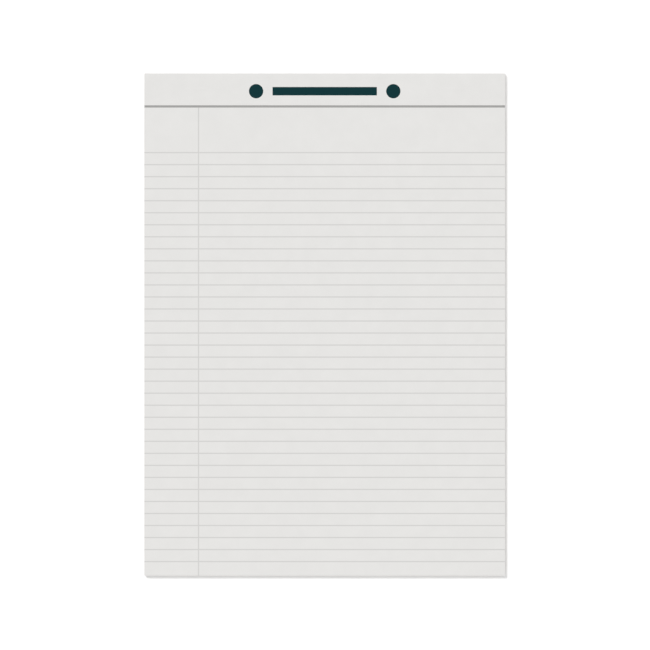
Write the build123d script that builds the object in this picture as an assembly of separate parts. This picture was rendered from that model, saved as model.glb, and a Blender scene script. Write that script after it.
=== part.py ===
"""Letter-size ruled writing pad: a block of perforated sheets on a chipboard back,
wire-stitched through the head, with a paper tape folded over the stitches.

The pad lies on its back. +X points to the right of the page, +Y to the head and +Z up.
The origin is at the centre of the pad's outline, on the surface that it lies on.
"""
from build123d import *
import os

INCH = 25.4

# Outline of the trimmed pad, with the tape's thickness at the head
pad_width = 8.4375 * INCH
pad_length = 11.75 * INCH

# Sheets and board
sheet_count = 50
sheet_caliper = 0.1
board_thickness = 0.76

# Binding tape, folded over the head
tape_thickness = 0.2
tape_front_flap = 0.75 * INCH
tape_back_flap = 22.0

# Perforation: a row of short slits through every sheet, just below the tape
perforation_gap = 0.65
slit_pitch = 2.0
slit_length = 1.3
slit_width = 0.15
slit_edge_margin = 0.4

# Wire stitches through the head
stitch_names = ("stitch_left", "stitch_middle", "stitch_right")
stitch_spacing = 76.0
stitch_from_head = 9.5
wire_diameter = 0.5
crown_length = 0.5 * INCH
clinch_length = 4.5
bend_radius = 0.6

# The space pressed into the paper and the board around each wire
wire_clearance = 0.02
recess_side = 0.05

# Levels, from the surface up: tape, board, sheets, tape
board_bottom = tape_thickness
board_top = board_bottom + board_thickness
block_thickness = sheet_count * sheet_caliper
block_top = board_top + block_thickness
tape_top = block_top + tape_thickness

# Lines across the page, from the foot to the head
foot_y = -pad_length / 2
tape_head_y = pad_length / 2
head_y = tape_head_y - tape_thickness
perforation_y = tape_head_y - tape_front_flap - perforation_gap
stitch_y = tape_head_y - stitch_from_head

# A stitch: how far its channel reaches from the wire's middle, and its two levels
wire_radius = wire_diameter / 2
channel_radius = wire_radius + wire_clearance
crown_z = block_top - channel_radius
clinch_z = board_bottom + channel_radius
stitch_row = list(GridLocations(stitch_spacing, 0, len(stitch_names), 1))


def full_width_bar(low_y, high_y, low_z, high_z):
    """A bar as wide as the pad, between two lines across the page and two levels."""
    middle = Pos(0, (low_y + high_y) / 2, (low_z + high_z) / 2)
    return middle * Box(pad_width, high_y - low_y, high_z - low_z)


def stitch_wire(radius, clinch):
    """A round wire bent to a stitch: a clinched end, a leg, the crown, a leg and a clinched end."""
    side = crown_length / 2
    route = FilletPolyline(
        (clinch - side, stitch_y, clinch_z),
        (-side, stitch_y, clinch_z),
        (-side, stitch_y, crown_z),
        (side, stitch_y, crown_z),
        (side, stitch_y, clinch_z),
        (side - clinch, stitch_y, clinch_z),
        radius=bend_radius,
    )
    section = Plane(origin=route @ 0, z_dir=route % 0) * Circle(radius)
    return sweep(section, path=route)


def recess(low_x, high_x, level, outward):
    """A shallow bed for a straight run of wire, open to the surface on its outward side."""
    middle = Pos((low_x + high_x) / 2, stitch_y, level + outward * channel_radius)
    width = 2 * (channel_radius + recess_side)
    return middle * Box(high_x - low_x, width, 2 * channel_radius)


def stitch_channel():
    """The space that one stitch takes up: holes for its legs, and beds for its crown and ends."""
    clinch = clinch_length + wire_clearance
    outer = crown_length / 2 + channel_radius
    inner = crown_length / 2 - clinch
    space = stitch_wire(channel_radius, clinch)
    space += recess(-outer, outer, crown_z, 1)
    space += recess(-outer, -inner, clinch_z, -1)
    space += recess(inner, outer, clinch_z, -1)
    return space


def perforation():
    """The row of slits, as solids that pass right through the sheets."""
    room = pad_width - 2 * slit_edge_margin - slit_length
    slit_count = int(room // slit_pitch) + 1
    row = Pos(0, perforation_y, (board_top + block_top) / 2) * GridLocations(slit_pitch, 0, slit_count, 1)
    return [place * Box(slit_length, slit_width, 2 * block_thickness) for place in row]


def page_block():
    """All the ruled sheets, trimmed flush, with the perforation and the stitches' holes."""
    block = full_width_bar(foot_y, head_y, board_top, block_top)
    channel = stitch_channel()
    block -= [place * channel for place in stitch_row]
    return block - perforation()


def backing_board():
    """The chipboard sheet, flush with the pages, with the stitches clinched in its back."""
    board = full_width_bar(foot_y, head_y, board_bottom, board_top)
    channel = stitch_channel()
    return board - [place * channel for place in stitch_row]


def header_tape():
    """One strip folded round the head: a front flap, the head edge and a back flap."""
    tape = full_width_bar(head_y, tape_head_y, 0, tape_top)
    tape += full_width_bar(tape_head_y - tape_front_flap, tape_head_y, block_top, tape_top)
    tape += full_width_bar(tape_head_y - tape_back_flap, tape_head_y, 0, board_bottom)
    folds = tape.edges().filter_by(Axis.X).group_by(Axis.Y)[-1]
    return fillet(folds, tape_thickness)


pieces = {
    "page_block": page_block(),
    "backing_board": backing_board(),
    "header_tape": header_tape(),
}
stitch = stitch_wire(wire_radius, clinch_length)
for name, place in zip(stitch_names, stitch_row):
    pieces[name] = place * stitch

os.makedirs("parts", exist_ok=True)
for name, piece in pieces.items():
    piece.label = name
    export_step(piece, f"parts/{name}.step")
    print(name, len(piece.solids()), "solid,", round(piece.volume, 2), "mm3")
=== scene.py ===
# %% [markdown]
# # A ruled writing pad
#
# The real pad is fifty ruled sheets on a chipboard back. Wire stitches hold the head together,
# and a strip of paper tape is folded over them. The CAD model holds all of that at its real size.
# Here each piece gets its surface. The CAD model is loaded first, because every place and size
# below is read from it, in metres, with +Y at the head of the pad and +Z up from the page.

# %% Load the frame
import math

import bmesh
import bpy
import numpy as np
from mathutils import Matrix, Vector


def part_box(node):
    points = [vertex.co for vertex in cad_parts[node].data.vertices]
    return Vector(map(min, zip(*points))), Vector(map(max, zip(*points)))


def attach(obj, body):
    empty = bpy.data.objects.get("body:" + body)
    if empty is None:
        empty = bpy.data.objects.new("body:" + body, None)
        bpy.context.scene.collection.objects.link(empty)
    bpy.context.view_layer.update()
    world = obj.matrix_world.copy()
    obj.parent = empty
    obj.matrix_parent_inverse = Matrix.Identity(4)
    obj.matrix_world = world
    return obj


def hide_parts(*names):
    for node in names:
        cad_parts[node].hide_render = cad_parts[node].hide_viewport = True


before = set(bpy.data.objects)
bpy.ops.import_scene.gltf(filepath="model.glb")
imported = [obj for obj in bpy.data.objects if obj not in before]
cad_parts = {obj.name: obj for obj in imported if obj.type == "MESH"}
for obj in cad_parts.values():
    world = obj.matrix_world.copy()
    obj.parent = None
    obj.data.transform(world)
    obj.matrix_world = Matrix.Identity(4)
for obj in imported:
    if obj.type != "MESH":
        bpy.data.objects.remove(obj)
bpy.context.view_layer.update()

# %% [markdown]
# ## Sizes
#
# A name for one millimetre lets a reader check a size against a real pad with a ruler. The boxes
# of the CAD nodes give the levels of the pad. What is printed on a sheet has no CAD shape, so its
# places are named here, and each is measured from the head, as a printer would set it out.

# %% Levels and edges of the pad
MM = 0.001
INCH = 25.4 * MM

block_low, block_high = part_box("page_block")
board_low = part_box("backing_board")[0]
tape_low, tape_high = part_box("header_tape")

sheet_count = 50
block_thickness = block_high.z - block_low.z
caliper = block_thickness / sheet_count
sheet_width = block_high.x - block_low.x
tape_thickness = tape_high.z - block_high.z
print("one sheet is", round(caliper / MM, 3), "mm thick and", round(sheet_width / MM, 2), "mm wide")

# %% What is printed on a sheet, measured down from the head of the pad
tape_front_flap = 0.75 * INCH
perforation_place = tape_front_flap + 0.65 * MM
head_rule_width = 1.5 * MM
head_rule_place = perforation_place
first_rule_place = 47.16 * MM
rule_pitch = 9 / 32 * INCH
rule_count = 35
rule_width = 0.7 * MM
margin_place = 32.2 * MM

# %% The tear-off perforation
slit_pitch = 2.0 * MM
slit_length = 1.3 * MM
slit_width = 0.15 * MM
slit_edge_margin = 0.4 * MM
slit_count = int((sheet_width - 2 * slit_edge_margin - slit_length) // slit_pitch) + 1
print("slits in the perforation:", slit_count)

# %% [markdown]
# ## Camera
#
# The pad is seen from straight above, and no side of it shows. An orthographic camera would do
# that too, but it looks stiff from other angles, so a very long lens is used. The distance follows
# from the lens: the width of what the camera sees at the page, times the focal length, divided by
# the width of the sensor.

# %% Camera straight above the page
view_width = 386.0 * MM
aim_right = 0.17 * MM
aim_down = 0.31 * MM
camera_data = bpy.data.cameras.new("camera")
camera_data.lens = 300
camera_data.sensor_width = 36
camera_data.clip_end = 50
camera = bpy.data.objects.new("camera", camera_data)
camera_height = view_width * camera_data.lens / camera_data.sensor_width
camera.location = (aim_right, -aim_down, tape_high.z + camera_height)
bpy.context.scene.collection.objects.link(camera)
bpy.context.scene.camera = camera
print("camera height above the page in m:", round(camera_height, 3))

# %% [markdown]
# ## Stage and light
#
# A white page on a white floor is told apart only by a soft edge. One large soft sun stands a
# little to the upper left, so the 6 mm of thickness throws a narrow soft shadow to the right and
# the foot. A pale sky fills the rest. Area lamps could do the same, but a sun and a sky light the
# whole page evenly and need no aiming. The floor glows slightly, which keeps it whiter than paper.
# The Standard view shows colours as they are, with no film look laid over them.

# %% Floor
def screen_colour(red, green, blue):
    """The linear colour that a screen, by its standard curve, shows as these numbers from 0 to 255."""
    shares = [value / 255 for value in (red, green, blue)]
    return tuple(((s + 0.055) / 1.055) ** 2.4 if s > 0.04045 else s / 12.92 for s in shares)


floor_side = 8.0
floor_mesh = bpy.data.meshes.new("floor")
floor_level = -0.05 * MM
half_side = floor_side / 2
corners = [(x * half_side, y * half_side, floor_level) for x, y in ((-1, -1), (1, -1), (1, 1), (-1, 1))]
floor_mesh.from_pydata(corners, [], [(0, 1, 2, 3)])
floor = bpy.data.objects.new("floor", floor_mesh)
bpy.context.scene.collection.objects.link(floor)
floor_finish = bpy.data.materials.new("floor_white")
floor_finish.use_nodes = True
floor_shader = floor_finish.node_tree.nodes["Principled BSDF"]
floor_shader.inputs["Base Color"].default_value = (0.9, 0.9, 0.9, 1)
floor_shader.inputs["Roughness"].default_value = 0.9
floor_shader.inputs["Specular IOR Level"].default_value = 0.1
floor_shader.inputs["Emission Color"].default_value = (1, 1, 1, 1)
floor_shader.inputs["Emission Strength"].default_value = 0.235
floor_mesh.materials.append(floor_finish)

# %% Sun
sun_slope_right = 0.26
sun_slope_foot = 0.325
sun_data = bpy.data.lights.new("key_sun", "SUN")
sun_data.energy = 1.575
sun_data.angle = math.radians(13)
sun = bpy.data.objects.new("key_sun", sun_data)
sun.rotation_euler = (-math.atan(sun_slope_foot), -math.atan(sun_slope_right), 0)
bpy.context.scene.collection.objects.link(sun)
bpy.context.scene.view_settings.view_transform = "Standard"

# %% [markdown]
# ## Helpers for node trees
#
# Materials and Geometry Nodes are both trees of nodes joined by links. Clicking them together is
# easy to do once and hard to read later, so two small functions build them in code: one adds a
# node and fills its inputs, and one does a step of arithmetic.

# %% Build nodes in code
def add(tree, kind, feeds=None, **settings):
    """Adds a node, sets its properties, then links or fills its inputs. Returns the node."""
    node = tree.nodes.new(kind)
    for name, value in settings.items():
        setattr(node, name, value)
    for key, value in (feeds or {}).items():
        if isinstance(value, bpy.types.NodeSocket):
            tree.links.new(value, node.inputs[key])
        else:
            node.inputs[key].default_value = value
    return node


def arithmetic(tree, operation, *values):
    """One step of arithmetic on numbers or fields. Returns its result."""
    return add(tree, "ShaderNodeMath", dict(enumerate(values)), operation=operation).outputs[0]


# %% [markdown]
# ## Sky
#
# In a studio the walls glow and the ceiling is darker. The sky below is the same: white up to a few
# degrees above the floor, then about half as bright. Walls could be modelled, but they would have to
# stand far off and still light nothing better. The white band hides where the floor ends, and it
# lights the edges of the sheets from the side. A colour ramp on the height of the view turns one
# into the other.

# %% Sky
def ramp(tree, factor, low, high, start=0.0, end=1.0):
    """A colour that goes from low to high as the factor goes from start to end."""
    node = add(tree, "ShaderNodeValToRGB", {"Fac": factor})
    for element, colour, position in zip(node.color_ramp.elements, (low, high), (start, end)):
        element.color = (*colour, 1)
        element.position = position
    return node.outputs["Color"]


wall_white = (1.0, 1.0, 1.0)
ceiling_grey = (0.53, 0.53, 0.53)
wall_top = 0.1
ceiling_start = 0.16
world = bpy.data.worlds.new("studio")
world.use_nodes = True
direction = add(world.node_tree, "ShaderNodeTexCoord").outputs["Object"]
height = add(world.node_tree, "ShaderNodeSeparateXYZ", {0: direction}).outputs["Z"]
glow = ramp(world.node_tree, height, wall_white, ceiling_grey, wall_top, ceiling_start)
world.node_tree.links.new(glow, world.node_tree.nodes["Background"].inputs["Color"])
bpy.context.scene.world = world

# %% [markdown]
# ## Helpers for finishes
#
# Every surface of the pad is paper, board or wire, and each has a colour, a gloss and a grain. A
# finish could be put together node by node each time. Four small functions do it instead: one
# starts a finish with its colour and gloss, one makes a grain of a given size, one lays a colour
# over another, and one lets the grain be felt as bump.

# %% Start a finish, give it a grain, lay a colour over another, raise the grain
def new_finish(name, colour, roughness, specular=0.3, metallic=0.0):
    """A material whose constant values sit on its own shader. Returns it, its tree and its shader."""
    finish = bpy.data.materials.new(name)
    finish.use_nodes = True
    tree = finish.node_tree
    shader = tree.nodes["Principled BSDF"]
    shader.inputs["Base Color"].default_value = (*colour, 1)
    shader.inputs["Roughness"].default_value = roughness
    shader.inputs["Specular IOR Level"].default_value = specular
    shader.inputs["Metallic"].default_value = metallic
    return finish, tree, shader


def grain(tree, size, detail=4.0, stretch=(1, 1, 1), turn=0.0):
    """Noise with features of this size in metres, stretched along X, Y and Z, then turned about Z."""
    place = add(tree, "ShaderNodeTexCoord").outputs["Object"]
    feeds = {"Vector": place, "Scale": stretch, "Rotation": (0, 0, turn)}
    spread = add(tree, "ShaderNodeMapping", feeds, vector_type="TEXTURE")
    feeds = {"Vector": spread.outputs[0], "Scale": 1 / size, "Detail": detail}
    return add(tree, "ShaderNodeTexNoise", feeds).outputs["Fac"]


def lay_over(tree, share, under, over):
    """A plain colour laid over another one, as far as the share goes from 0 to 1."""
    feeds = {"Factor": share, 6: under, 7: (*over, 1)}
    return add(tree, "ShaderNodeMix", feeds, data_type="RGBA").outputs[2]


def raise_grain(tree, shader, height, depth, strength=1.0):
    """Bump on the shader: the height field stands this many metres proud."""
    bump = add(tree, "ShaderNodeBump", {"Height": height, "Distance": depth, "Strength": strength})
    tree.links.new(bump.outputs["Normal"], shader.inputs["Normal"])


# %% [markdown]
# ## Paper
#
# Bond paper is felted fibre. Held to the light it is cloudy at the scale of a fingertip, and
# under a lens it has a tooth of fibres a third of a millimetre apart. A scan of paper would show
# both, but it has seams and an end. Noise on the object's own coordinates has neither, and it stays
# put when the camera moves. The change of colour is a percent or two, because a printer picks
# paper for being even.

# %% Paper finish
paper_light = screen_colour(233, 232, 230)
paper_dark = screen_colour(227, 226, 224)
cloud_size = 9 * MM
fibre_spacing = 0.35 * MM
fibre_depth = 0.02 * MM


def paper_tooth(tree, shader):
    """The same fibre tooth for bare paper and for paper under ink."""
    raise_grain(tree, shader, grain(tree, fibre_spacing), fibre_depth)


paper, tree, shader = new_finish("bond_paper", screen_colour(230, 229, 227), 0.9)
tree.links.new(ramp(tree, grain(tree, cloud_size), paper_dark, paper_light), shader.inputs["Base Color"])
paper_tooth(tree, shader)

# %% [markdown]
# ## Ruling ink
#
# The rules are printed in a thin pale grey, and the rule under the head in a darker one. Ink soaks
# into the tooth, so it has no edge to feel. The paper's finish could draw the lines by a sum on
# the place of the point, but then they are lost where only the mesh is used. So the ink is a finish
# of its own for faces that the sheet sets apart, and the paper's tooth carries on through it.

# %% Ink finishes
rule_ink, tree, shader = new_finish("rule_ink", screen_colour(212, 211, 209), 0.85)
paper_tooth(tree, shader)
head_ink, tree, shader = new_finish("head_rule_ink", screen_colour(176, 175, 173), 0.8)
paper_tooth(tree, shader)

# %% [markdown]
# ## Cut edges of the stack
#
# A guillotine trims all the sheets at once, and each cut edge catches the light its own way. The
# side of a pad is then fine level streaks, as long as the sheet and as thin as one or two sheets.
# The mesh below has a step for each sheet. A colour for each sheet as well would look striped like
# a flag, so noise stretched along X and Y and left fine in Z lets the streaks fade in and out. The
# streaks in the colour are painted light and painted shade: paler where an edge catches the light,
# darker where shade lies in the gaps between the sheets.

# %% Cut edge finish
edge_streak = 60.0
streak_height = 1.5 * caliper
# Colours of the painted shade and the painted light in the streaks on the cut edges.
painted_edge_shade = screen_colour(188, 186, 182)
painted_edge_light = screen_colour(234, 233, 231)
edge_depth = 0.02 * MM

cut_edges, tree, shader = new_finish("cut_edges", screen_colour(222, 221, 218), 0.95, specular=0.1)
streaks = grain(tree, streak_height, detail=6.0, stretch=(edge_streak, edge_streak, 1))
# The streaks paint shade and light into the colour. The same noise is also a real bump.
tree.links.new(ramp(tree, streaks, painted_edge_shade, painted_edge_light, 0.3, 0.7), shader.inputs["Base Color"])
raise_grain(tree, shader, streaks, edge_depth)

# %% [markdown]
# ## Trees for Geometry Nodes
#
# A tree has named inputs, as a machine has dials. The function below starts one, and the next
# turns its dials on a new object, lets it run once and keeps the plain mesh. The inputs are set
# by the socket's identifier, because that is the key that the modifier stores.

# %% Start and run a tree
LENGTH = "NodeSocketFloat"
COUNT = "NodeSocketInt"
FINISH = "NodeSocketMaterial"


def new_tree(name, dials):
    """A tree with these named inputs. Returns it, the sockets that its inputs give and its output node."""
    tree = bpy.data.node_groups.new(name, "GeometryNodeTree")
    for label, kind in dials.items():
        tree.interface.new_socket(label, in_out="INPUT", socket_type=kind)
    tree.interface.new_socket("Mesh", in_out="OUTPUT", socket_type="NodeSocketGeometry")
    return tree, tree.nodes.new("NodeGroupInput").outputs, tree.nodes.new("NodeGroupOutput")


def run_tree(name, tree, settings):
    """Makes an object with the tree's result as its own plain mesh."""
    piece = bpy.data.objects.new(name, bpy.data.meshes.new(name))
    bpy.context.scene.collection.objects.link(piece)
    modifier = piece.modifiers.new(name, "NODES")
    modifier.node_group = tree
    for socket in tree.interface.items_tree:
        if socket.in_out == "INPUT":
            modifier[socket.identifier] = settings[socket.name]
    evaluated = piece.evaluated_get(bpy.context.evaluated_depsgraph_get())
    mesh = bpy.data.meshes.new_from_object(evaluated)
    piece.modifiers.clear()
    piece.data = mesh
    # An empty slot can come first, from before the tree set any finish.
    if mesh.materials[0] is None:
        mesh.materials.pop(index=0)
    mesh.shade_flat()
    print(name, "has", len(mesh.polygons), "faces and", len(mesh.materials), "finishes")
    return piece


# %% [markdown]
# ## Perforation
#
# A perforating rule is a steel strip with teeth. It punches a row of short slits, and the bridges
# of paper between them hold the sheet until it is torn off. A dotted line of ink would pass for it
# from afar, but a sheet that is cut is right from close up and from below. In Geometry Nodes one
# small box is put on every point of a line, and the whole row is subtracted from the paper.

# %% Perforation tree
perforation_dials = {
    "Mesh": "NodeSocketGeometry",
    "Slit Length": LENGTH,
    "Slit Width": LENGTH,
    "Slit Pitch": LENGTH,
    "Slit Count": COUNT,
    "Row Y": LENGTH,
    "Row Z": LENGTH,
    "Cut Depth": LENGTH,
}
perforation, given, result = new_tree("perforation", perforation_dials)
tree = perforation
gaps = arithmetic(tree, "SUBTRACT", given["Slit Count"], 1)
first_x = arithmetic(tree, "MULTIPLY", arithmetic(tree, "MULTIPLY", gaps, given["Slit Pitch"]), -0.5)
start = add(tree, "ShaderNodeCombineXYZ", {0: first_x, 1: given["Row Y"], 2: given["Row Z"]})
step = add(tree, "ShaderNodeCombineXYZ", {0: given["Slit Pitch"]})
row_feeds = {"Count": given["Slit Count"], "Start Location": start.outputs[0], "Offset": step.outputs[0]}
row = add(tree, "GeometryNodeMeshLine", row_feeds)
tooth_feeds = {0: given["Slit Length"], 1: given["Slit Width"], 2: given["Cut Depth"]}
tooth_size = add(tree, "ShaderNodeCombineXYZ", tooth_feeds).outputs[0]
tooth = add(tree, "GeometryNodeMeshCube", {"Size": tooth_size}).outputs["Mesh"]
teeth = add(tree, "GeometryNodeInstanceOnPoints", {"Points": row.outputs[0], "Instance": tooth})
solid_teeth = add(tree, "GeometryNodeRealizeInstances", {"Geometry": teeth.outputs[0]})
punch_feeds = {"Mesh 1": given["Mesh"], "Mesh 2": solid_teeth.outputs[0]}
punched = add(tree, "GeometryNodeMeshBoolean", punch_feeds, operation="DIFFERENCE", solver="EXACT")
tree.links.new(punched.outputs["Mesh"], result.inputs["Mesh"])


def perforate(tree, mesh, row_z, depth):
    """Adds the perforation tree to another tree, with the pad's own sizes. Returns the punched mesh."""
    feeds = {
        "Mesh": mesh,
        "Slit Length": slit_length,
        "Slit Width": slit_width,
        "Slit Pitch": slit_pitch,
        "Slit Count": slit_count,
        "Row Y": tape_high.y - perforation_place,
        "Row Z": row_z,
        "Cut Depth": depth,
    }
    return add(tree, "GeometryNodeGroup", feeds, node_tree=perforation).outputs["Mesh"]


# %% [markdown]
# ## Room for the stitches
#
# A stitching head drives a cut length of wire through the sheets and bends it over at the back. So
# the sheets have two holes for each stitch, and a bed pressed in the top ones for its crown. The
# tape hides them, but the paper must not run through the wire. The cutter is a rectangle with
# rounded corners, swept with a round section. Its lowest side lies below the sheets and cuts nothing.

# %% Sizes of a stitch, read from the CAD
stitch_names = ("stitch_left", "stitch_middle", "stitch_right")
stitch_boxes = [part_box(name) for name in stitch_names]
stitch_middles = [(low.x + high.x) / 2 for low, high in stitch_boxes]
stitch_low, stitch_high = stitch_boxes[0]
stitch_y = (stitch_low.y + stitch_high.y) / 2
wire_diameter = stitch_high.y - stitch_low.y
crown_z = stitch_high.z - wire_diameter / 2
crown_length = stitch_high.x - stitch_low.x - wire_diameter
bend_radius = 0.6 * MM
wire_room = 0.02 * MM
bed_side = 0.05 * MM
print("wire stitches of", round(wire_diameter / MM, 2), "mm wire, crown", round(crown_length / MM, 1), "mm")

# %% Stitch room tree
stitch_dials = {
    "Mesh": "NodeSocketGeometry",
    "Crown Length": LENGTH,
    "Leg Length": LENGTH,
    "Bend Radius": LENGTH,
    "Room Radius": LENGTH,
    "Bed Width": LENGTH,
    "First Crown": "NodeSocketVector",
    "Spacing": LENGTH,
    "Stitch Count": COUNT,
}
stitch_room, given, result = new_tree("stitch_room", stitch_dials)
tree = stitch_room
loop_feeds = {"Width": given["Crown Length"], "Height": given["Leg Length"]}
loop = add(tree, "GeometryNodeCurvePrimitiveQuadrilateral", loop_feeds).outputs[0]
bend_feeds = {"Curve": loop, "Radius": given["Bend Radius"], "Count": 6}
bent = add(tree, "GeometryNodeFilletCurve", bend_feeds, mode="POLY").outputs[0]
section_feeds = {"Resolution": 16, "Radius": given["Room Radius"]}
section = add(tree, "GeometryNodeCurvePrimitiveCircle", section_feeds).outputs["Curve"]
channel = add(tree, "GeometryNodeCurveToMesh", {"Curve": bent, "Profile Curve": section}).outputs[0]
half_leg = arithmetic(tree, "MULTIPLY", given["Leg Length"], -0.5)
channel_place = add(tree, "ShaderNodeCombineXYZ", {2: half_leg}).outputs[0]
stand_feeds = {"Geometry": channel, "Translation": channel_place, "Rotation": (math.pi / 2, 0, 0)}
standing = add(tree, "GeometryNodeTransform", stand_feeds).outputs[0]

room_diameter = arithmetic(tree, "MULTIPLY", given["Room Radius"], 2)
bed_length = arithmetic(tree, "ADD", given["Crown Length"], room_diameter)
bed_size = add(tree, "ShaderNodeCombineXYZ", {0: bed_length, 1: given["Bed Width"], 2: room_diameter})
bed = add(tree, "GeometryNodeMeshCube", {"Size": bed_size.outputs[0]}).outputs["Mesh"]
bed_place = add(tree, "ShaderNodeCombineXYZ", {2: given["Room Radius"]}).outputs[0]
bed = add(tree, "GeometryNodeTransform", {"Geometry": bed, "Translation": bed_place}).outputs[0]
one_stitch = add(tree, "GeometryNodeJoinGeometry")
tree.links.new(standing, one_stitch.inputs[0])
tree.links.new(bed, one_stitch.inputs[0])

# %% Stitch room tree: one cutter for each stitch
apart = add(tree, "ShaderNodeCombineXYZ", {0: given["Spacing"]}).outputs[0]
row_feeds = {"Count": given["Stitch Count"], "Start Location": given["First Crown"], "Offset": apart}
row = add(tree, "GeometryNodeMeshLine", row_feeds).outputs[0]
cutter_feeds = {"Points": row, "Instance": one_stitch.outputs[0]}
cutters = add(tree, "GeometryNodeInstanceOnPoints", cutter_feeds).outputs[0]
cutters = add(tree, "GeometryNodeRealizeInstances", {"Geometry": cutters}).outputs[0]
pierce_feeds = {"Mesh 1": given["Mesh"], "Mesh 2": cutters, "Self Intersection": True}
pierced = add(tree, "GeometryNodeMeshBoolean", pierce_feeds, operation="DIFFERENCE", solver="EXACT")
tree.links.new(pierced.outputs["Mesh"], result.inputs["Mesh"])


def pierce(tree, mesh):
    """Adds the stitch room tree to another tree, with the pad's own sizes. Returns the pierced mesh."""
    feeds = {
        "Mesh": mesh,
        "Crown Length": crown_length,
        "Leg Length": crown_z - board_low.z,
        "Bend Radius": bend_radius,
        "Room Radius": wire_diameter / 2 + wire_room,
        "Bed Width": wire_diameter + 2 * (wire_room + bed_side),
        "First Crown": (stitch_middles[0], stitch_y, crown_z),
        "Spacing": stitch_middles[1] - stitch_middles[0],
        "Stitch Count": len(stitch_names),
    }
    return add(tree, "GeometryNodeGroup", feeds, node_tree=stitch_room).outputs["Mesh"]


# %% [markdown]
# ## The top sheet
#
# The ruling repeats: each line is one pitch below the last. So the sheet starts as an even
# grid with a row of points for each edge of each line, and a field slides every row to its place.
# The cells between the two edges of a line are the ink. Strips laid on the paper would be easier,
# but they stand proud of it or flicker in it, and ink does neither. Then the sheet gets its
# thickness, a back and its perforation.

# %% Ruled sheet tree: the grid and its ink
sheet_dials = {
    "Sheet Width": LENGTH,
    "Sheet Length": LENGTH,
    "Caliper": LENGTH,
    "Head Y": LENGTH,
    "Under Z": LENGTH,
    "Head Rule Place": LENGTH,
    "Head Rule Width": LENGTH,
    "First Rule Place": LENGTH,
    "Rule Pitch": LENGTH,
    "Rule Count": COUNT,
    "Rule Width": LENGTH,
    "Margin Place": LENGTH,
    "Paper": FINISH,
    "Rule Ink": FINISH,
    "Head Ink": FINISH,
}
ruled_sheet, given, result = new_tree("ruled_sheet", sheet_dials)
tree = ruled_sheet
# Column 0 is the left edge, 1 and 2 are the sides of the margin line, and 3 is the right edge.
# Row 0 is the head, 1 and 2 are the sides of the head rule, 3 and 4 those of the first rule, and
# so on down to the foot.
column_edges = 4
row_edges = arithmetic(tree, "MULTIPLY_ADD", given["Rule Count"], 2, 4)
last_row = arithmetic(tree, "SUBTRACT", row_edges, 1)
grid_feeds = {"Size X": 1, "Size Y": 1, "Vertices X": column_edges, "Vertices Y": row_edges}
grid = add(tree, "GeometryNodeMeshGrid", grid_feeds).outputs["Mesh"]
place = add(tree, "ShaderNodeSeparateXYZ", {0: add(tree, "GeometryNodeInputPosition").outputs[0]})
across = arithmetic(tree, "MULTIPLY", arithmetic(tree, "ADD", place.outputs["X"], 0.5), column_edges - 1)
down = arithmetic(tree, "MULTIPLY", arithmetic(tree, "SUBTRACT", 0.5, place.outputs["Y"]), last_row)

# A cell has the number of the row above it and of the column on its left, so odd rows are ink.
cell_row = arithmetic(tree, "FLOOR", down)
cell_column = arithmetic(tree, "FLOOR", across)
in_rule = arithmetic(tree, "MODULO", cell_row, 2)
below_head_rule = arithmetic(tree, "GREATER_THAN", cell_row, 1.5)
in_margin = arithmetic(tree, "MULTIPLY", arithmetic(tree, "COMPARE", cell_column, 1, 0.1), below_head_rule)
in_head_rule = arithmetic(tree, "COMPARE", cell_row, 1, 0.1)
ink_number = arithmetic(tree, "ADD", arithmetic(tree, "MAXIMUM", in_rule, in_margin), in_head_rule)


def mark_ink(tree, mesh, value, selection=True):
    """Stores on each selected face which ink it wears: 0 none, 1 the rules', 2 the head rule's."""
    feeds = {"Geometry": mesh, "Selection": selection, "Name": "ink", "Value": value}
    return add(tree, "GeometryNodeStoreNamedAttribute", feeds, data_type="INT", domain="FACE").outputs[0]


inked_grid = mark_ink(tree, grid, ink_number)

# %% Ruled sheet tree: slide the rows and columns to their places
def either(tree, test, yes, no):
    """One number where the test holds, and another where it doesn't."""
    feeds = {"Switch": test, "True": yes, "False": no}
    return add(tree, "GeometryNodeSwitch", feeds, input_type="FLOAT").outputs[0]


# Line 0 is the head rule. The two sides of a line lie half its width above and below its middle.
row_number = arithmetic(tree, "ROUND", down)
column_number = arithmetic(tree, "ROUND", across)
line_number = arithmetic(tree, "FLOOR", arithmetic(tree, "MULTIPLY_ADD", row_number, 0.5, -0.5))
rows_above_line = arithmetic(tree, "MULTIPLY_ADD", line_number, 2, 1)
lower_edge = arithmetic(tree, "SUBTRACT", row_number, rows_above_line)
is_head_line = arithmetic(tree, "LESS_THAN", line_number, 0.5)
lines_down = arithmetic(tree, "SUBTRACT", line_number, 1)
rule_place = arithmetic(tree, "MULTIPLY_ADD", lines_down, given["Rule Pitch"], given["First Rule Place"])
line_place = either(tree, is_head_line, given["Head Rule Place"], rule_place)
line_width = either(tree, is_head_line, given["Head Rule Width"], given["Rule Width"])
edge_side = arithmetic(tree, "SUBTRACT", lower_edge, 0.5)
edge_place = arithmetic(tree, "MULTIPLY_ADD", edge_side, line_width, line_place)
is_foot = arithmetic(tree, "GREATER_THAN", row_number, arithmetic(tree, "SUBTRACT", last_row, 0.5))
below_top = either(tree, is_foot, given["Sheet Length"], edge_place)
from_head = either(tree, row_number, below_top, 0.0)

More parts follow.
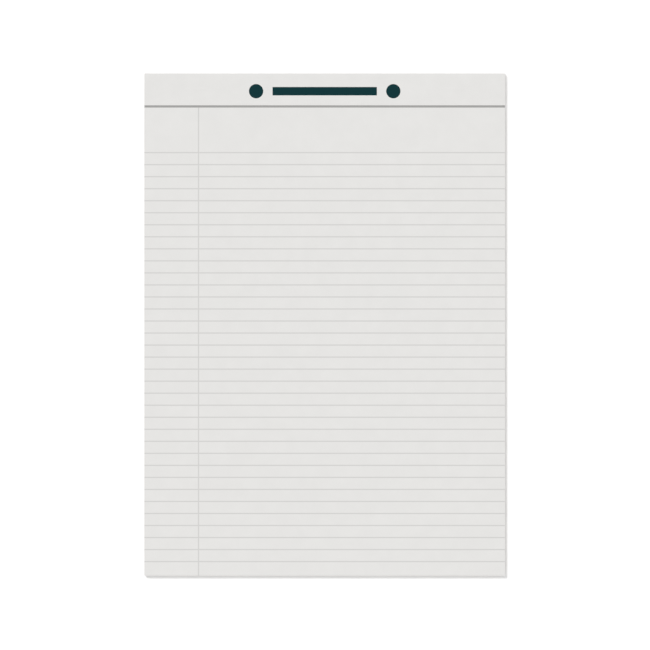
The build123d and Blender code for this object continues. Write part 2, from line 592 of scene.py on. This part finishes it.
margin_side = arithmetic(tree, "SUBTRACT", column_number, 1.5)
margin_edge = arithmetic(tree, "MULTIPLY_ADD", margin_side, given["Rule Width"], given["Margin Place"])
is_right = arithmetic(tree, "GREATER_THAN", column_number, column_edges - 1.5)
from_left = either(tree, column_number, either(tree, is_right, given["Sheet Width"], margin_edge), 0.0)
sheet_x = arithmetic(tree, "MULTIPLY_ADD", given["Sheet Width"], -0.5, from_left)
sheet_y = arithmetic(tree, "SUBTRACT", given["Head Y"], from_head)
spot = add(tree, "ShaderNodeCombineXYZ", {0: sheet_x, 1: sheet_y, 2: given["Under Z"]})
lay_feeds = {"Geometry": inked_grid, "Position": spot.outputs[0]}
laid_out = add(tree, "GeometryNodeSetPosition", lay_feeds).outputs[0]

# %% Ruled sheet tree: thickness, back, holes, perforation and finishes
extrude_feeds = {"Mesh": laid_out, "Offset Scale": given["Caliper"], "Individual": False}
thick = add(tree, "GeometryNodeExtrudeMesh", extrude_feeds)
front_and_sides = mark_ink(tree, thick.outputs["Mesh"], 0, thick.outputs["Side"])
back = mark_ink(tree, add(tree, "GeometryNodeFlipFaces", {"Mesh": laid_out}).outputs[0], 0)
both = add(tree, "GeometryNodeJoinGeometry")
tree.links.new(front_and_sides, both.inputs[0])
tree.links.new(back, both.inputs[0])
merge_feeds = {"Geometry": both.outputs[0], "Distance": caliper / 10}
closed = add(tree, "GeometryNodeMergeByDistance", merge_feeds)
pierced = pierce(tree, closed.outputs[0])
punched = perforate(tree, pierced, row_z=block_high.z, depth=4 * caliper)
finished = add(tree, "GeometryNodeRealizeInstances", {"Geometry": punched}).outputs[0]
paper_feeds = {"Geometry": finished, "Material": given["Paper"]}
finished = add(tree, "GeometryNodeSetMaterial", paper_feeds).outputs[0]
ink = add(tree, "GeometryNodeInputNamedAttribute", {"Name": "ink"}, data_type="INT").outputs["Attribute"]
for number, dial in ((1, "Rule Ink"), (2, "Head Ink")):
    wears = add(tree, "FunctionNodeCompare", {"A": ink, "B": number}, data_type="INT", operation="EQUAL")
    feeds = {"Geometry": finished, "Selection": wears.outputs[0], "Material": given[dial]}
    finished = add(tree, "GeometryNodeSetMaterial", feeds).outputs[0]
tree.links.new(finished, result.inputs["Mesh"])

# %% Run the ruled sheet
sheet_settings = {
    "Sheet Width": sheet_width,
    "Sheet Length": block_high.y - block_low.y,
    "Caliper": caliper,
    "Head Y": block_high.y,
    "Under Z": block_high.z - caliper,
    "Head Rule Place": head_rule_place - tape_thickness,
    "Head Rule Width": head_rule_width,
    "First Rule Place": first_rule_place - tape_thickness,
    "Rule Pitch": rule_pitch,
    "Rule Count": rule_count,
    "Rule Width": rule_width,
    "Margin Place": margin_place,
    "Paper": paper,
    "Rule Ink": rule_ink,
    "Head Ink": head_ink,
}
top_sheet = run_tree("top_sheet", ruled_sheet, sheet_settings)

# %% [markdown]
# ## The sheets below
#
# Forty-nine more sheets lie under the first. Only their cut edges show. Loose sheets could be
# stacked, but their hidden faces cost as much as the ones that show, so they are one closed block
# whose sides step in and out by a few hundredths of a millimetre from sheet to sheet. A
# cube with two levels of points for each sheet makes it: a random shift, the same for both levels
# of a sheet, gives each its own place, and a slow drift leans groups of them together. A few
# thousandths of air part each sheet from the next. The head stays flush, because the sheets are
# knocked square there before they are stitched.

# %% Sheet block tree: a cube with two levels of points for each sheet
block_dials = {
    "Block Width": LENGTH,
    "Block Length": LENGTH,
    "Head Y": LENGTH,
    "Under Z": LENGTH,
    "Sheet Count": COUNT,
    "Caliper": LENGTH,
    "Air": LENGTH,
    "Jog": LENGTH,
    "Drift": LENGTH,
    "Drift Sheets": LENGTH,
    "Seed": COUNT,
    "Edges": FINISH,
}
sheet_block, given, result = new_tree("sheet_block", block_dials)
tree = sheet_block
level_count = arithmetic(tree, "MULTIPLY", given["Sheet Count"], 2)
cube_feeds = {"Size": (1, 1, 1), "Vertices X": 2, "Vertices Y": 2, "Vertices Z": level_count}
cube = add(tree, "GeometryNodeMeshCube", cube_feeds).outputs["Mesh"]
place = add(tree, "ShaderNodeSeparateXYZ", {0: add(tree, "GeometryNodeInputPosition").outputs[0]})
share_up = arithmetic(tree, "ADD", place.outputs["Z"], 0.5)
top_level = arithmetic(tree, "SUBTRACT", level_count, 1)
level = arithmetic(tree, "ROUND", arithmetic(tree, "MULTIPLY", share_up, top_level))
sheet = arithmetic(tree, "FLOOR", arithmetic(tree, "MULTIPLY", level, 0.5))
face_up = arithmetic(tree, "SUBTRACT", level, arithmetic(tree, "MULTIPLY", sheet, 2))

# %% Sheet block tree: how far each sheet is shifted
jog_feeds = {0: (-1, -1, 0), 1: (1, 1, 0), "ID": sheet, "Seed": given["Seed"]}
jog = add(tree, "FunctionNodeRandomValue", jog_feeds, data_type="FLOAT_VECTOR").outputs[0]
jog = add(tree, "ShaderNodeVectorMath", {0: jog, "Scale": given["Jog"]}, operation="SCALE").outputs[0]
drift_along = arithmetic(tree, "DIVIDE", sheet, given["Drift Sheets"])
drift_place = add(tree, "ShaderNodeCombineXYZ", {0: drift_along, 1: given["Seed"]})
noise_feeds = {"Vector": drift_place.outputs[0], "Scale": 1.0, "Detail": 1.0}
drift_noise = add(tree, "ShaderNodeTexNoise", noise_feeds).outputs["Color"]
drift_feeds = {0: drift_noise, 1: (2, 2, 2), 2: (-1, -1, -1)}
drift = add(tree, "ShaderNodeVectorMath", drift_feeds, operation="MULTIPLY_ADD").outputs[0]
shift_feeds = {0: drift, 1: given["Drift"], 2: jog}
shift = add(tree, "ShaderNodeVectorMath", shift_feeds, operation="MULTIPLY_ADD").outputs[0]
shift = add(tree, "ShaderNodeSeparateXYZ", {0: shift})

# %% Sheet block tree: each level of points to its place
reach = arithmetic(tree, "ADD", given["Jog"], given["Drift"])
inner_width = arithmetic(tree, "MULTIPLY_ADD", reach, -2, given["Block Width"])
block_x = arithmetic(tree, "MULTIPLY_ADD", place.outputs["X"], inner_width, shift.outputs["X"])
foot_inset = arithmetic(tree, "ADD", reach, shift.outputs["Y"])
sheet_length = arithmetic(tree, "SUBTRACT", given["Block Length"], foot_inset)
share_up_page = arithmetic(tree, "SUBTRACT", place.outputs["Y"], 0.5)
block_y = arithmetic(tree, "MULTIPLY_ADD", share_up_page, sheet_length, given["Head Y"])
sheet_z = arithmetic(tree, "MULTIPLY_ADD", sheet, given["Caliper"], given["Under Z"])
paper_thickness = arithmetic(tree, "SUBTRACT", given["Caliper"], given["Air"])
block_z = arithmetic(tree, "MULTIPLY_ADD", face_up, paper_thickness, sheet_z)
spot = add(tree, "ShaderNodeCombineXYZ", {0: block_x, 1: block_y, 2: block_z})
stacked = add(tree, "GeometryNodeSetPosition", {"Geometry": cube, "Position": spot.outputs[0]}).outputs[0]

# %% Sheet block tree: holes, perforation and finish
pierced = pierce(tree, stacked)
block_middle = (block_low.z + block_high.z) / 2
punched = perforate(tree, pierced, row_z=block_middle, depth=2 * block_thickness)
realized = add(tree, "GeometryNodeRealizeInstances", {"Geometry": punched}).outputs[0]
edge_feeds = {"Geometry": realized, "Material": given["Edges"]}
finished = add(tree, "GeometryNodeSetMaterial", edge_feeds).outputs[0]
tree.links.new(finished, result.inputs["Mesh"])

# %% Run the sheet block
block_settings = {
    "Block Width": sheet_width,
    "Block Length": block_high.y - block_low.y,
    "Head Y": block_high.y,
    "Under Z": block_low.z,
    "Sheet Count": sheet_count - 1,
    "Caliper": caliper,
    "Air": 0.005 * MM,
    "Jog": 0.02 * MM,
    "Drift": 0.06 * MM,
    "Drift Sheets": 8.0,
    "Seed": 7,
    "Edges": cut_edges,
}
sheets_below = run_tree("sheets_below", sheet_block, block_settings)

# %% [markdown]
# ## Binding tape
#
# The tape is a strip of creped paper, glued over the head while the pad is in the press. Crepe is
# paper with fine wrinkles across the strip, which let it fold without a crack. Noise stretched
# along Y gives the wrinkles. The print on the tape is a plain bar between two plain discs. Each is
# a test on the place of the point, so it has a sharp edge, needs no picture, and leaves the mesh
# free to be close only where the tape bends.

# %% Tape finish with its plain print
tape_colour = screen_colour(230, 229, 227)
print_colour = screen_colour(4, 50, 54)
print_below_head = 10.7 * MM
print_middle_y = tape_high.y - print_below_head
bar_half_length = 31.0 * MM
bar_half_width = 2.5 * MM
disc_radius = 4.25 * MM
disc_place = 40.75 * MM
wrinkle_width = 0.45 * MM
wrinkle_stretch = (1, 5, 1)
wrinkle_depth = 0.08 * MM

binding_paper, tree, shader = new_finish("binding_paper", tape_colour, 0.8, specular=0.15)
place = add(tree, "ShaderNodeSeparateXYZ", {0: add(tree, "ShaderNodeTexCoord").outputs["Object"]})
from_middle = arithmetic(tree, "ABSOLUTE", place.outputs["X"])
from_line = arithmetic(tree, "ABSOLUTE", arithmetic(tree, "SUBTRACT", place.outputs["Y"], print_middle_y))
in_length = arithmetic(tree, "LESS_THAN", from_middle, bar_half_length)
in_bar = arithmetic(tree, "MULTIPLY", in_length, arithmetic(tree, "LESS_THAN", from_line, bar_half_width))
from_disc = arithmetic(tree, "SUBTRACT", from_middle, disc_place)
disc_square = arithmetic(tree, "MULTIPLY", from_disc, from_disc)
squares = arithmetic(tree, "MULTIPLY_ADD", from_line, from_line, disc_square)
in_disc = arithmetic(tree, "LESS_THAN", squares, disc_radius**2)
on_front = arithmetic(tree, "GREATER_THAN", place.outputs["Z"], block_high.z + tape_thickness / 2)
printed = arithmetic(tree, "MULTIPLY", arithmetic(tree, "MAXIMUM", in_bar, in_disc), on_front)
tape_cloud = ramp(tree, grain(tree, cloud_size), paper_dark, paper_light)
tree.links.new(lay_over(tree, printed, tape_cloud, print_colour), shader.inputs["Base Color"])
crepe = grain(tree, wrinkle_width, detail=3.0, stretch=wrinkle_stretch)
raise_grain(tree, shader, crepe, wrinkle_depth)

# %% [markdown]
# ## The shape of the tape
#
# A strip folded round a block is one outline moved along a line, so its outline is worked out once:
# the front flap, two quarter rounds at the folds, the head and the back flap. The wire stitches lie
# under the front flap, and the paper stands a few hundredths of a millimetre proud over each. Cloth
# simulation could press the tape on them, but paper this thin shows only a low smooth ridge, and a
# formula gives that. The outline has closer points there, and so has the line along X.

# %% Tape outline
fold_steps = 6
ridge_height = 0.035 * MM
ridge_spread = 0.7 * MM
ridge_reach = 2 * MM
back_stops = 12
wall_stops = 4


def stops(low, high, coarse, fine, spots, reach):
    """Places from low to high: a coarse step apart, and a fine step apart within reach of each spot."""
    places = list(np.linspace(low, high, 2 + int((high - low) / coarse)))
    for spot in spots:
        places += [p for p in np.arange(spot - reach, spot + reach, fine) if low < p < high]
    return sorted(set(places))


def quarter_round(middle_y, middle_z, first_angle):
    """Points of a quarter circle as wide as the tape is thick, turning from one side to the next."""
    angles = [first_angle - math.pi / 2 * step / fold_steps for step in range(1, fold_steps)]
    return [(middle_y, middle_z, math.cos(angle), math.sin(angle)) for angle in angles]


front_y = tape_high.y - tape_front_flap
flap_stops = stops(
    front_y, block_high.y, coarse=2 * MM, fine=0.25 * MM, spots=[stitch_y], reach=ridge_reach
)
outline = [(y, block_high.z, 0, 1) for y in flap_stops]
outline += quarter_round(block_high.y, block_high.z, math.pi / 2)
outline += [(block_high.y, z, 1, 0) for z in np.linspace(block_high.z, board_low.z, wall_stops)]
outline += quarter_round(block_high.y, board_low.z, 0)
outline += [(y, board_low.z, 0, -1) for y in np.linspace(block_high.y, tape_low.y, back_stops)]
print("the tape's outline has", len(outline), "points")

# %% Tape mesh
def ridge(x, y):
    """How far the tape stands proud over the crowns of the stitches."""
    past_end = min(max(abs(x - middle) - crown_length / 2, 0) for middle in stitch_middles)
    return ridge_height * math.exp(-((y - stitch_y) ** 2 + past_end**2) / ridge_spread**2)


crown_reach = crown_length / 2 + ridge_reach
columns = stops(
    tape_low.x, tape_high.x, coarse=4 * MM, fine=0.5 * MM, spots=stitch_middles, reach=crown_reach
)
points = []
for x in columns:
    for y, z, out_y, out_z in outline:
        proud = tape_thickness + (ridge(x, y) if out_z == 1 else 0)
        points.append((x, y + out_y * proud, z + out_z * proud))
    points += [(x, y, z) for y, z, out_y, out_z in reversed(outline)]
ring = 2 * len(outline)
faces = []
for column in range(len(columns) - 1):
    for i in range(ring):
        after = (i + 1) % ring
        near = column * ring
        far = near + ring
        faces.append((near + i, near + after, far + after, far + i))
for i in range(len(outline) - 1):
    left = (i, i + 1, ring - 2 - i, ring - 1 - i)
    right_start = (len(columns) - 1) * ring
    faces.append(tuple(reversed(left)))
    faces.append(tuple(right_start + corner for corner in left))

tape_mesh = bpy.data.meshes.new("binding_tape")
tape_mesh.from_pydata(points, [], faces)
tape_mesh.materials.append(binding_paper)
binding_tape = bpy.data.objects.new("binding_tape", tape_mesh)
bpy.context.scene.collection.objects.link(binding_tape)

merge_distance = tape_thickness / 100
sharp_angle = math.radians(40)
work = bmesh.new()
work.from_mesh(tape_mesh)
bmesh.ops.remove_doubles(work, verts=work.verts, dist=merge_distance)
bmesh.ops.recalc_face_normals(work, faces=work.faces)
work.to_mesh(tape_mesh)
work.free()
tape_mesh.shade_smooth()
tape_mesh.set_sharp_from_angle(angle=sharp_angle)
print("the tape has", len(tape_mesh.polygons), "faces")

# %% [markdown]
# ## Chipboard back
#
# Chipboard is pressed from waste paper, so it is a warm grey, cloudy, and full of short fibres that
# lie every way. The CAD board already has its true shape, with the beds of the stitches in its back.
# It keeps that shape and only gets a finish. Fibres could be thousands of thin meshes, but they lie
# in the board and not on it. So a fibre is noise stretched to ten times its width, with only its
# peaks kept. Four turns of it, two darker and two paler than the board, cross each other.

# %% Chipboard finish
black = (0.0, 0.0, 0.0)
white = (1.0, 1.0, 1.0)
fibre_width = 0.2 * MM
fibre_stretch = (10, 1, 1)
dark_fibre = screen_colour(104, 95, 83)
pale_fibre = screen_colour(192, 183, 167)
board_shade = screen_colour(142, 132, 116)
board_light = screen_colour(170, 160, 144)
mottle_size = 5 * MM
board_depth = 0.04 * MM

chipboard, tree, shader = new_finish("grey_chipboard", screen_colour(156, 146, 130), 0.95, specular=0.1)
board_tint = ramp(tree, grain(tree, mottle_size, detail=8.0), board_shade, board_light, 0.3, 0.7)
for degrees, fibre_colour in ((20, dark_fibre), (65, pale_fibre), (110, dark_fibre), (155, pale_fibre)):
    fibre = grain(tree, fibre_width, detail=1.0, stretch=fibre_stretch, turn=math.radians(degrees))
    board_tint = lay_over(tree, ramp(tree, fibre, black, white, 0.6, 0.75), board_tint, fibre_colour)
tree.links.new(board_tint, shader.inputs["Base Color"])
raise_grain(tree, shader, grain(tree, fibre_width, detail=3.0), board_depth)
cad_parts["backing_board"].material_slots[0].material = chipboard

# %% [markdown]
# ## Stitching wire
#
# Bookbinder's wire is thin galvanised steel, drawn through a die, which leaves scratches along it.
# It hides under the tape, and any grey would do there, but a part that is taken apart should still
# be right. So the three CAD stitches get a steel finish with a little tarnish in it, and scratches
# along the crown.

# %% Wire finish
bright_zinc = (0.66, 0.66, 0.67)
dull_zinc = (0.42, 0.42, 0.43)
tarnish_size = 1.5 * MM
scratch_width = 0.05 * MM
scratch_stretch = (20, 1, 1)
scratch_depth = 0.004 * MM

wire_steel, tree, shader = new_finish("galvanised_wire", bright_zinc, 0.35, specular=0.5, metallic=1.0)
tarnish = grain(tree, tarnish_size, detail=3.0)
tree.links.new(ramp(tree, tarnish, dull_zinc, bright_zinc, 0.3, 0.7), shader.inputs["Base Color"])
scratches = grain(tree, scratch_width, detail=2.0, stretch=scratch_stretch)
raise_grain(tree, shader, scratches, scratch_depth)
for name in stitch_names:
    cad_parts[name].material_slots[0].material = wire_steel

# %% [markdown]
# ## One body
#
# The pad has no moving parts, so every piece rides on the one body. Two pieces stand for the CAD
# block of pages, and one for the CAD tape.

# %% Ride on the body, and hide the CAD nodes the pieces stand for
for piece, node, slot in (
    (top_sheet, "page_block", "ruled_paper"),
    (sheets_below, "page_block", "ruled_paper"),
    (binding_tape, "header_tape", "binding_tape"),
):
    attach(piece, "root")
    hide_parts(node)
